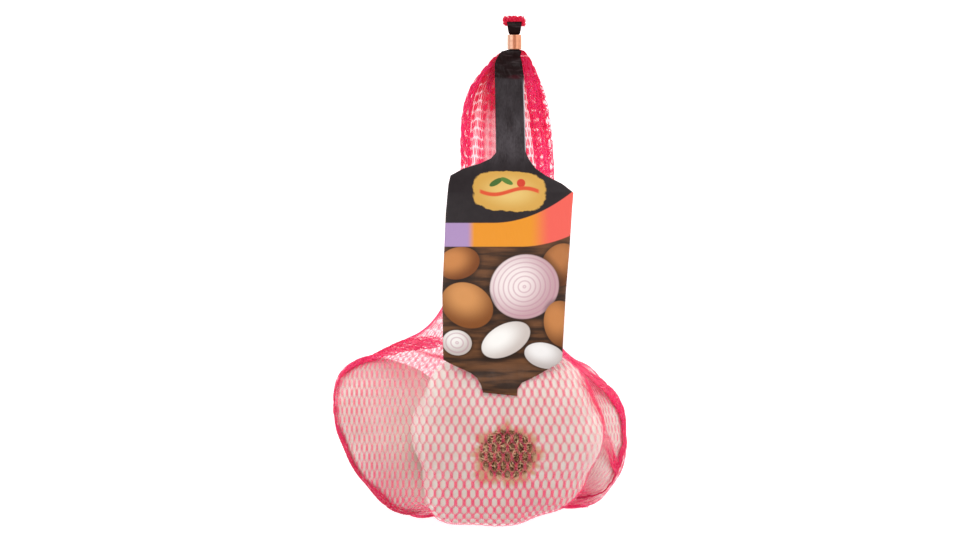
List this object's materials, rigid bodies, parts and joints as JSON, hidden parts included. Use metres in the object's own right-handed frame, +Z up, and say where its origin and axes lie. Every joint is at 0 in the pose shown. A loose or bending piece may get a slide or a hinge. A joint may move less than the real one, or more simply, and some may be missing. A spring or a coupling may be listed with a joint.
{
  "type": "net bag of garlic bulbs",
  "caption": "Knitted net bag of garlic bulbs lying on its back, gathered into a crimped clip that also holds a front and a back label.",
  "frame": {"origin": "on the surface that the bag lies on, under the middle of its box", "axes": "+Z up and towards the front of the bag, +Y along the sleeve from the bulbs to the clip, +X to the right as the label is read"},
  "size_m": [0.1028, 0.1794, 0.0937],
  "materials": {
    "net": "satin knitted polyethylene monofilament",
    "garlic_skin": "dry papery bulb skin, faintly veined",
    "garlic_root": "dry trimmed root fibres",
    "label_print": "printed film, satin",
    "label_back": "plain film, satin",
    "clip_metal": "copper-coloured crimped strip"
  },
  "bodies": {
    "root": {"net_bag": "net", "front_label": "label_print", "back_label": "label_back", "clip": "clip_metal"}
  },
  "joints": []
}
